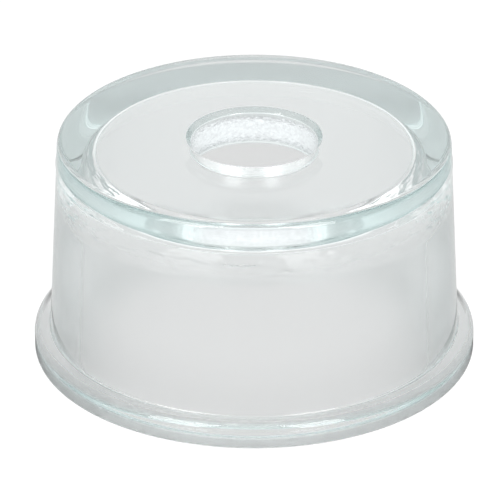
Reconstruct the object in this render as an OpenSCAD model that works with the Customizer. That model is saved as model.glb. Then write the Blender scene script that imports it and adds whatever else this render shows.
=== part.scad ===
// Glass filter bowl: one thick pressed-glass bowl, standing on its open rim.
// The rim has an outward flange, and the thick base on top has a ground centre bore.
// Origin: centre of the rim plane. +Z runs up the axis, through the bore. Millimetres.

/* [Body] */
// Height from the rim plane to the base face
bowl_h = 45; // [40:0.5:60]
// Outer diameter of the base face, to its sharp corner
base_d = 76; // [72:0.5:78]
// Outer diameter of the wall where it meets the flange
wall_foot_d = 79.8; // [78:0.1:82]
// Radius that rounds the outer edge of the base face
base_edge_r = 1.3; // [0.5:0.1:2]

/* [Flange] */
// Outer diameter of the flange
flange_d = 86; // [85:0.5:92]
// Height of the flange at its outer edge
flange_h = 5.1; // [4.6:0.1:6]
// Rise of the flange's top from its outer edge to the wall
flange_rise = 0.4; // [0.1:0.1:1]
// Radius of the flange's shoulder
shoulder_r = 1.7; // [0.8:0.1:2]
// Radius of the flange's lower outer edge
foot_edge_r = 0.9; // [0.3:0.1:1.2]
// Radius in the corner between the flange and the wall
flange_root_r = 0.5; // [0.2:0.1:1]

/* [Cavity] */
// Thickness of the base
base_t = 7.6; // [5:0.1:9]
// Diameter of the cavity at its ceiling, to the sharp corner
ceiling_d = 62; // [60:0.5:64]
// Diameter of the cavity at the foot of the taper under the ceiling, to the sharp corner
taper_foot_d = 66.6; // [65:0.1:68]
// Height of that taper
taper_h = 6; // [4:0.5:10]
// Diameter of the cavity at the rim, to the sharp corner
mouth_d = 68.8; // [68:0.1:71]
// Radius in the corner between the ceiling and the taper
ceiling_corner_r = 1; // [0.5:0.1:2]
// Radius that blends the taper into the wall
taper_blend_r = 6; // [2:0.5:10]
// Radius of the rim's inner edge
mouth_edge_r = 0.7; // [0.3:0.1:1]

/* [Centre bore] */
// Diameter of the bore through the base
bore_d = 24.6; // [20:0.2:30]
// Width of the bevel around the bore at the base face
bore_bevel = 0.9; // [0.4:0.1:1.5]
// Radius that softens both edges of that bevel
bevel_edge_r = 0.3; // [0.1:0.1:0.4]
// Radius of the bore's edge at the ceiling
bore_ceiling_r = 0.4; // [0.2:0.1:1]

/* [Mould line] */
// Distance of the raised mould line below the base face
mould_line_drop = 5; // [3:0.5:8]
// Height of the mould line above the wall
mould_line_proud = 0.15; // [0.05:0.05:0.3]
// Width of the mould line along the wall
mould_line_w = 1.2; // [0.6:0.1:2]

/* [Hidden] */

// Segments of a full turn
around = 144;
// Chords in the arc that rounds one corner of the outline
arc_steps = 8;

ceiling_z = bowl_h - base_t;
wall_foot_z = flange_h + flange_rise;
mould_line_z = bowl_h - mould_line_drop;

// Outer radius of the drafted wall at height z
function wall_r(z) = (wall_foot_d + (base_d - wall_foot_d) * (z - wall_foot_z) / (bowl_h - wall_foot_z)) / 2;

// Right half of the bowl's section, as corners [radius, height, rounding], anticlockwise
outline = [
    [mouth_d / 2, 0, mouth_edge_r],
    [flange_d / 2, 0, foot_edge_r],
    [flange_d / 2, flange_h, shoulder_r],
    [wall_foot_d / 2, wall_foot_z, flange_root_r],
    [wall_r(mould_line_z - mould_line_w / 2), mould_line_z - mould_line_w / 2, 0],
    [wall_r(mould_line_z) + mould_line_proud, mould_line_z, 0],
    [wall_r(mould_line_z + mould_line_w / 2), mould_line_z + mould_line_w / 2, 0],
    [base_d / 2, bowl_h, base_edge_r],
    [bore_d / 2 + bore_bevel, bowl_h, bevel_edge_r],
    [bore_d / 2, bowl_h - bore_bevel, bevel_edge_r],
    [bore_d / 2, ceiling_z, bore_ceiling_r],
    [ceiling_d / 2, ceiling_z, ceiling_corner_r],
    [taper_foot_d / 2, ceiling_z - taper_h, taper_blend_r],
];

function unit(v) = v / norm(v);

// Points of the arc of radius r that rounds the corner p between its neighbours a and b
function corner_arc(a, p, b, r) =
    let (
        u = unit(a - p),
        v = unit(b - p),
        half = acos(u * v) / 2,
        centre = p + unit(u + v) * r / sin(half),
        start = p + u * r / tan(half) - centre,
        end = p + v * r / tan(half) - centre,
        first = atan2(start.y, start.x),
        sweep = atan2(start.x * end.y - start.y * end.x, start * end)
    )
    [for (i = [0:arc_steps]) centre + r * [cos(first + sweep * i / arc_steps), sin(first + sweep * i / arc_steps)]];

// An outline's points, with an arc at each corner whose rounding is above 0
function rounded(corners) =
    let (n = len(corners), at = [for (c = corners) [c[0], c[1]]])
    [
        for (i = [0:n - 1])
            each corners[i][2] > 0
                ? corner_arc(at[(i + n - 1) % n], at[i], at[(i + 1) % n], corners[i][2])
                : [at[i]]
    ];

module glass_bowl() {
    color([0.80, 0.89, 0.88, 0.45])
        rotate_extrude($fn = around)
            polygon(rounded(outline));
}

glass_bowl();
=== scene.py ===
"""Looks of the glass filter bowl: a finely turned pressed-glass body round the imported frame, on a studio floor.

Metres throughout. The bowl stands on its rim at z = 0, with its axis on Z and its bored base on top.
"""

import math

import bmesh
import bpy
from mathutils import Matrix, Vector, noise


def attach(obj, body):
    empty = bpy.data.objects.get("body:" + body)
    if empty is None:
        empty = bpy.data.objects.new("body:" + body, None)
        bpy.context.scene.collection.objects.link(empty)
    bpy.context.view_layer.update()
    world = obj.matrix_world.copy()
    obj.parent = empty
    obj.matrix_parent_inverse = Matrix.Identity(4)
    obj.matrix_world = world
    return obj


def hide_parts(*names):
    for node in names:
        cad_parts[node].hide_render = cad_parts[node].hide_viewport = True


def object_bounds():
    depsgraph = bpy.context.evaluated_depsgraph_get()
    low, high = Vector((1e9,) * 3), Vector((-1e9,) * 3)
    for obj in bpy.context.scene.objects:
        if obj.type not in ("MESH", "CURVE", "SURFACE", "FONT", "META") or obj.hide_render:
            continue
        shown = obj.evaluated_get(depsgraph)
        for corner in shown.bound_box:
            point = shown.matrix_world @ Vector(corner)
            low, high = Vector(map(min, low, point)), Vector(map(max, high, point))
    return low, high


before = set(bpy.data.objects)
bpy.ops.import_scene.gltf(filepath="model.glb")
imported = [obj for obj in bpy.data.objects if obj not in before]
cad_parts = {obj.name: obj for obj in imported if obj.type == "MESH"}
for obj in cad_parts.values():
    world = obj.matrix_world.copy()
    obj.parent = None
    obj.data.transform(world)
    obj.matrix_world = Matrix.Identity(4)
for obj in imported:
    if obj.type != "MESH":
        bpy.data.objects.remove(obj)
cad_low, cad_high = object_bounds()

# Outline of the bowl. Its height and its flange radius are the frame's own.
HEIGHT = cad_high.z
FLANGE_R = cad_high.x
BASE_R = 0.0380
BASE_EDGE = 0.0013
WALL_FOOT_R = 0.0399
FLANGE_H = 0.0051
FLANGE_RISE = 0.0004
SHOULDER = 0.0017
FOOT_EDGE = 0.0009
FLANGE_ROOT = 0.0005
BASE_T = 0.0076
CEILING_R = 0.0310
CEILING_CORNER = 0.0010
TAPER_FOOT_R = 0.0333
TAPER_H = 0.0060
TAPER_BLEND = 0.0060
MOUTH_R = 0.0344
MOUTH_EDGE = 0.0007
BORE_R = 0.0123
BORE_BEVEL = 0.0009
BEVEL_EDGE = 0.0003
BORE_CEILING_EDGE = 0.0004
MOULD_LINE_DROP = 0.0050
MOULD_LINE_PROUD = 0.00015
MOULD_LINE_W = 0.0012

# Chill ripples in the tapered top of the cavity: height, the depth that they reach, pitch and waves round the
# axis, how steeply they fade out above and below, and the octaves of their noise
RIPPLE = 0.00018
RIPPLE_H = 0.0060
RIPPLE_PITCH = 0.0009
RIPPLE_TURNS = 7.0
RIPPLE_FADE = 0.7
RIPPLE_FALLOFF = 0.7
RIPPLE_LACUNARITY = 2.0
RIPPLE_OCTAVES = 3

# Fineness of the turned mesh
AROUND = 512
ARC_STEPS = 7
PLAIN_STEP = 0.0018
BORE_STEP = 0.0006
RIPPLE_STEP = 0.0003

# Surface finishes, as shares of satin and ground
POLISHED = Vector((0, 0))
FINE_SATIN = Vector((0.3, 0))
SATIN = Vector((1, 0))
SEALING_FACE = Vector((2.0, 0))
GROUND = Vector((0, 1))

# Glass: refraction, its colour through its depth, and the roughness of each finish as a base and a spread
GLASS_IOR = 1.52
GLASS_COLOUR = (0.533, 0.814, 0.803, 1)
GLASS_DENSITY = 8.5
HAZE_SIZE = 0.012
HAZE_SPREAD = 0.02
SATIN_SIZE = 0.004
SATIN_ROUGH = 0.28
SATIN_SPREAD = 0.1
GROUND_SIZE = 0.0006
GROUND_ROUGH = 0.06
GROUND_SPREAD = 0.16

# Frost and pits of the ground bore
FROST_SIZE = 0.0005
FROST_RANGE = (0.35, 0.65)
FROST_TINT = 0.3
FROST_GREEN_LOSS = 0.03
PIT_SIZE = 0.0007
PIT_DEPTH = 0.0002
PIT_STRENGTH = 0.5

# Radiance of the surroundings that the glass sees, and the directions over which the backdrop brightens
SURROUND = 0.75
BACKDROP = 1.16
BACKDROP_BEHIND = (0.62, 0.9)
BACKDROP_ABOVE = (0.15, 0.4)

# Floor: its size and finish, its radiance far off and in its painted pool of softbox light in front, and the
# radii and the Y between which that painted light and the painted contact shadow under the rim come and go
FLOOR_HALF = 3.0
FLOOR_DROP = 0.00002
FLOOR_COLOUR = (0.05, 0.05, 0.05, 1)
FLOOR_ROUGH = 0.9
FLOOR_NEAR = 0.685
FLOOR_PAINTED_POOL = 1.45
PAINTED_POOL_START = (0.058, 0.085)
PAINTED_POOL_END = (0.2, 0.12)
PAINTED_POOL_BEHIND = (0.04, -0.01)
CONTACT_SHADE = 0.6
CONTACT_START = (0.041, 0.0425)
CONTACT_END = (0.047, 0.0435)

# Softboxes: name, place, width and watts, with one height and one aim for both
SOFTBOXES = [
    ("front_left", (-0.82, -0.97, 0.85), 0.75, 17),
    ("front_right", (0.72, -1.06, 0.85), 0.62, 14),
]
SOFTBOX_H = 1.4
SOFTBOX_AIM = Vector((0, 0, 0.02))

# Camera
CAMERA_ELEVATION = math.radians(27.32)
CAMERA_DISTANCE = 1.02
CAMERA_AIM = Vector((-0.00082, -0.00065, 0.02074))
CAMERA_LENS = 377.3
SENSOR_W = 36
CLIP_START = 0.01


def corner(radius, height, rounding, arc=POLISHED, run=(POLISHED, POLISHED), step=PLAIN_STEP):
    """One corner of the section: its place and rounding, the finish of its arc, the finish at the two ends of
    the run that follows it, and that run's mesh step.
    """
    return radius, height, rounding, arc, *run, step


def outline_corners():
    """Corners of the right half of the section, anticlockwise."""
    ceiling = HEIGHT - BASE_T
    foot = FLANGE_H + FLANGE_RISE
    line = HEIGHT - MOULD_LINE_DROP
    half_line = MOULD_LINE_W / 2

    def wall_r(z):
        return WALL_FOOT_R + (BASE_R - WALL_FOOT_R) * (z - foot) / (HEIGHT - foot)

    return [
        corner(MOUTH_R, 0, MOUTH_EDGE, run=(SEALING_FACE, SEALING_FACE)),
        corner(FLANGE_R, 0, FOOT_EDGE),
        corner(FLANGE_R, FLANGE_H, SHOULDER),
        corner(WALL_FOOT_R, foot, FLANGE_ROOT),
        corner(wall_r(line - half_line), line - half_line, 0),
        corner(wall_r(line) + MOULD_LINE_PROUD, line, 0),
        corner(wall_r(line + half_line), line + half_line, 0),
        corner(BASE_R, HEIGHT, BASE_EDGE),
        corner(BORE_R + BORE_BEVEL, HEIGHT, BEVEL_EDGE),
        corner(BORE_R, HEIGHT - BORE_BEVEL, BEVEL_EDGE, run=(GROUND, GROUND), step=BORE_STEP),
        corner(BORE_R, ceiling, BORE_CEILING_EDGE, run=(FINE_SATIN, FINE_SATIN)),
        corner(CEILING_R, ceiling, CEILING_CORNER, run=(POLISHED, SATIN), step=RIPPLE_STEP),
        corner(TAPER_FOOT_R, ceiling - TAPER_H, TAPER_BLEND, arc=SATIN, run=(SATIN, SATIN)),
    ]


def corner_arc(before, point, after, radius):
    """Points of the arc that rounds a corner between its two neighbours."""
    if radius <= 0:
        return [point]
    to_before = (before - point).normalized()
    to_after = (after - point).normalized()
    half = to_before.angle(to_after) / 2
    centre = point + (to_before + to_after).normalized() * radius / math.sin(half)
    start = point + to_before * radius / math.tan(half) - centre
    end = point + to_after * radius / math.tan(half) - centre
    first = math.atan2(start.y, start.x)
    sweep = math.atan2(start.x * end.y - start.y * end.x, start.dot(end))
    angles = [first + sweep * i / ARC_STEPS for i in range(ARC_STEPS + 1)]
    return [centre + radius * Vector((math.cos(a), math.sin(a))) for a in angles]


def section():
    """The rounded outline as points (radius, height), with the finish that each one has."""
    corners = outline_corners()
    count = len(corners)
    at = [Vector(c[:2]) for c in corners]
    arcs = [corner_arc(at[i - 1], at[i], at[(i + 1) % count], corners[i][2]) for i in range(count)]
    points = []
    for i, arc in enumerate(arcs):
        arc_finish, run_start, run_end, step = corners[i][3:]
        points += [(p, arc_finish) for p in arc]
        reach = arcs[(i + 1) % count][0] - arc[-1]
        steps = max(1, round(reach.length / step))
        for k in range(1, steps):
            points.append((arc[-1] + reach * k / steps, run_start.lerp(run_end, k / steps)))
    return points


def ripple(angle, point):
    """How far the chill ripples push the tapered top of the cavity in, at an angle and a section point."""
    depth = HEIGHT - BASE_T - point.y
    if not CEILING_R - CEILING_CORNER < point.x < MOUTH_R or not 0 < depth < RIPPLE_H:
        return 0.0
    share = math.sin(math.pi * depth / RIPPLE_H) ** RIPPLE_FADE
    place = Vector((math.cos(angle), math.sin(angle), 0)) * RIPPLE_TURNS
    place.z = depth / RIPPLE_PITCH
    return RIPPLE * share * noise.fractal(place, RIPPLE_FALLOFF, RIPPLE_LACUNARITY, RIPPLE_OCTAVES)


def turned_mesh(name):
    """The section turned round Z into one closed mesh, with the finishes as attributes."""
    points = section()
    rows = len(points)
    verts = []
    for i in range(AROUND):
        angle = 2 * math.pi * i / AROUND
        for p, _ in points:
            radius = p.x - ripple(angle, p)
            verts.append((radius * math.cos(angle), radius * math.sin(angle), p.y))
    faces = []
    for i in range(AROUND):
        here, there = i * rows, (i + 1) % AROUND * rows
        for k in range(rows):
            after = (k + 1) % rows
            faces.append((here + k, there + k, there + after, here + after))
    mesh = bpy.data.meshes.new(name)
    mesh.from_pydata(verts, [], faces)
    outward = bmesh.new()
    outward.from_mesh(mesh)
    bmesh.ops.recalc_face_normals(outward, faces=outward.faces)
    outward.to_mesh(mesh)
    outward.free()
    for index, finish in enumerate(("satin", "ground")):
        attribute = mesh.attributes.new(finish, "FLOAT", "POINT")
        attribute.data.foreach_set("value", [shares[index] for _, shares in points] * AROUND)
    mesh.shade_smooth()
    return mesh


class Nodes:
    """Short calls for building one node tree."""

    def __init__(self, tree):
        self.tree = tree
        self.shader = tree.nodes.get("Principled BSDF")
        self.output = tree.nodes.get("Material Output")

    def add(self, kind, settings=None, **values):
        """A node of a kind, with its properties set and its sockets set or linked by name."""
        node = self.tree.nodes.new(kind)
        for key, value in (settings or {}).items():
            setattr(node, key, value)
        for key, value in values.items():
            self.put(node.inputs[key.replace("_", " ")], value)
        return node

    def put(self, socket, value):
        """Links an output to a socket, or sets the socket's own value."""
        if isinstance(value, bpy.types.NodeSocket):
            self.tree.links.new(value, socket)
        else:
            socket.default_value = value

    def math(self, operation, *values):
        """The output of a Math node."""
        node = self.tree.nodes.new("ShaderNodeMath")
        node.operation = operation
        for socket, value in zip(node.inputs, values):
            self.put(socket, value)
        return node.outputs[0]

    def rise(self, value, start, end):
        """A smooth step from 0 to 1 while the value goes from start to end."""
        return self.add("ShaderNodeMapRange", {"interpolation_type": "SMOOTHSTEP"}, Value=value,
                        From_Min=start, From_Max=end, To_Min=0.0, To_Max=1.0).outputs[0]

    def attribute(self, name):
        """The value of one of the mesh's own attributes."""
        return self.add("ShaderNodeAttribute", {"attribute_name": name}).outputs["Fac"]

    def place(self):
        """The object's own coordinates."""
        return self.add("ShaderNodeTexCoord").outputs["Object"]

    def grain(self, size, detail=2.0):
        """Noise with features of about the given size."""
        return self.add("ShaderNodeTexNoise", Vector=self.place(), Scale=1 / size, Detail=detail).outputs[0]


def pressed_glass():
    """Clear glass, teal through its depth: polished outside, satin in the cavity, ground in the bore."""
    material = bpy.data.materials.new("pressed_glass")
    material.use_nodes = True
    nodes = Nodes(material.node_tree)
    shader = nodes.shader
    shader.inputs["IOR"].default_value = GLASS_IOR
    shader.inputs["Transmission Weight"].default_value = 1
    satin = nodes.attribute("satin")
    ground = nodes.attribute("ground")

    frost = nodes.rise(nodes.grain(FROST_SIZE, detail=3), *FROST_RANGE)
    clear = nodes.math("MULTIPLY_ADD", nodes.math("MULTIPLY", ground, frost), -FROST_TINT, 1.0)
    green = nodes.math("MULTIPLY_ADD", ground, -FROST_GREEN_LOSS, clear)
    tint = nodes.add("ShaderNodeCombineColor", Red=clear, Green=green, Blue=clear)
    nodes.put(shader.inputs["Base Color"], tint.outputs[0])

    haze = nodes.math("MULTIPLY", nodes.grain(HAZE_SIZE), HAZE_SPREAD)
    satin_rough = nodes.math("MULTIPLY_ADD", nodes.grain(SATIN_SIZE), SATIN_SPREAD, SATIN_ROUGH)
    ground_rough = nodes.math("MULTIPLY_ADD", nodes.grain(GROUND_SIZE), GROUND_SPREAD, GROUND_ROUGH)
    rough = nodes.math("ADD", haze, nodes.math("MULTIPLY", satin, satin_rough))
    rough = nodes.math("ADD", rough, nodes.math("MULTIPLY", ground, ground_rough))
    nodes.put(shader.inputs["Roughness"], rough)

    pits = nodes.add("ShaderNodeBump", Height=nodes.grain(PIT_SIZE, detail=3),
                     Strength=nodes.math("MULTIPLY", ground, PIT_STRENGTH), Distance=PIT_DEPTH)
    nodes.put(shader.inputs["Normal"], pits.outputs[0])

    depth = nodes.add("ShaderNodeVolumeAbsorption")
    depth.inputs["Color"].default_value = GLASS_COLOUR
    depth.inputs["Density"].default_value = GLASS_DENSITY
    nodes.put(nodes.output.inputs["Volume"], depth.outputs[0])
    return material


def glass_bowl():
    """The bowl's visible body, in place of the plain CAD solid."""
    mesh = turned_mesh("glass_body")
    mesh.materials.append(pressed_glass())
    body = bpy.data.objects.new("glass_body", mesh)
    bpy.context.scene.collection.objects.link(body)
    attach(body, "root")
    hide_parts("glass_bowl")


def lit_table():
    """A plain table top that glows: pure white to the eye. To the glass it is dimmer, but for a painted pool of
    softbox light in front and at the sides, and a painted contact shadow under the rim.
    """
    material = bpy.data.materials.new("floor")
    material.use_nodes = True
    nodes = Nodes(material.node_tree)
    shader = nodes.shader
    shader.inputs["Base Color"].default_value = FLOOR_COLOUR
    shader.inputs["Roughness"].default_value = FLOOR_ROUGH
    shader.inputs["Specular IOR Level"].default_value = 0
    shader.inputs["Emission Color"].default_value = (1, 1, 1, 1)
    place = nodes.place()
    near = nodes.add("ShaderNodeSeparateXYZ", Vector=place).outputs["Y"]
    radius = nodes.add("ShaderNodeVectorMath", {"operation": "LENGTH"}, Vector=place).outputs["Value"]

    # Painted pool of softbox light: the floor glows brighter in a patch in front of the bowl
    painted_pool_ring = nodes.math("MULTIPLY", nodes.rise(radius, *PAINTED_POOL_START), nodes.rise(radius, *PAINTED_POOL_END))
    painted_pool = nodes.math("MULTIPLY", painted_pool_ring, nodes.rise(near, *PAINTED_POOL_BEHIND))
    painted_light_and_shade = nodes.math("MULTIPLY_ADD", painted_pool, FLOOR_PAINTED_POOL - FLOOR_NEAR, FLOOR_NEAR)
    # Painted contact shadow: the floor's glow is cut in a ring under the rim
    shade = nodes.math("MULTIPLY", nodes.rise(radius, *CONTACT_START), nodes.rise(radius, *CONTACT_END))
    painted_light_and_shade = nodes.math("MULTIPLY_ADD", shade, -CONTACT_SHADE, painted_light_and_shade)
    seen = nodes.add("ShaderNodeLightPath").outputs["Is Camera Ray"]
    nodes.put(shader.inputs["Emission Strength"], nodes.math("MAXIMUM", seen, painted_light_and_shade))
    return material


def studio_floor():
    """A wide, plain floor just under the rim."""
    signs = ((-1, -1), (1, -1), (1, 1), (-1, 1))
    corners = [(x * FLOOR_HALF, y * FLOOR_HALF, -FLOOR_DROP) for x, y in signs]
    mesh = bpy.data.meshes.new("floor")
    mesh.from_pydata(corners, [], [(0, 1, 2, 3)])
    mesh.materials.append(lit_table())
    floor = bpy.data.objects.new("floor", mesh)
    bpy.context.scene.collection.objects.link(floor)


def softbox(name, place, width, watts):
    """A rectangular soft light that faces the bowl."""
    light = bpy.data.lights.new(name, "AREA")
    light.shape = "RECTANGLE"
    light.size = width
    light.size_y = SOFTBOX_H
    light.energy = watts
    lamp = bpy.data.objects.new(name, light)
    bpy.context.scene.collection.objects.link(lamp)
    lamp.location = place
    lamp.rotation_euler = (SOFTBOX_AIM - Vector(place)).to_track_quat("-Z", "Y").to_euler()


def studio_light():
    """Even white surroundings with a brighter backdrop, and a softbox on each side in front."""
    world = bpy.data.worlds.new("studio")
    world.use_nodes = True
    background = world.node_tree.nodes["Background"]
    background.inputs["Color"].default_value = (1, 1, 1, 1)
    nodes = Nodes(world.node_tree)
    way = nodes.add("ShaderNodeSeparateXYZ", Vector=nodes.add("ShaderNodeTexCoord").outputs["Generated"])
    behind = nodes.rise(way.outputs["Y"], *BACKDROP_BEHIND)
    above = nodes.rise(way.outputs["Z"], *BACKDROP_ABOVE)
    glow = nodes.math("MULTIPLY_ADD", nodes.math("MULTIPLY", behind, above), BACKDROP - SURROUND, SURROUND)
    nodes.put(background.inputs["Strength"], glow)
    bpy.context.scene.world = world
    for box in SOFTBOXES:
        softbox(*box)


def studio_camera():
    """A long lens that looks down at the bowl from the front."""
    camera = bpy.data.cameras.new("camera")
    camera.sensor_width = SENSOR_W
    camera.lens = CAMERA_LENS
    camera.clip_start = CLIP_START
    holder = bpy.data.objects.new("camera", camera)
    bpy.context.scene.collection.objects.link(holder)
    back = Vector((0, -math.cos(CAMERA_ELEVATION), math.sin(CAMERA_ELEVATION)))
    holder.location = CAMERA_AIM + CAMERA_DISTANCE * back
    holder.rotation_euler = (CAMERA_AIM - holder.location).to_track_quat("-Z", "Y").to_euler()
    bpy.context.scene.camera = holder


def light_paths():
    """Enough bounces for light that is led round inside the thick glass."""
    scene = bpy.context.scene
    scene.view_settings.view_transform = "Standard"
    scene.cycles.max_bounces = 32
    scene.cycles.transmission_bounces = 32
    scene.cycles.glossy_bounces = 16
    scene.cycles.diffuse_bounces = 4
    scene.cycles.caustics_reflective = True
    scene.cycles.caustics_refractive = True
    scene.cycles.sample_clamp_indirect = 3


glass_bowl()
studio_floor()
studio_light()
studio_camera()
light_paths()
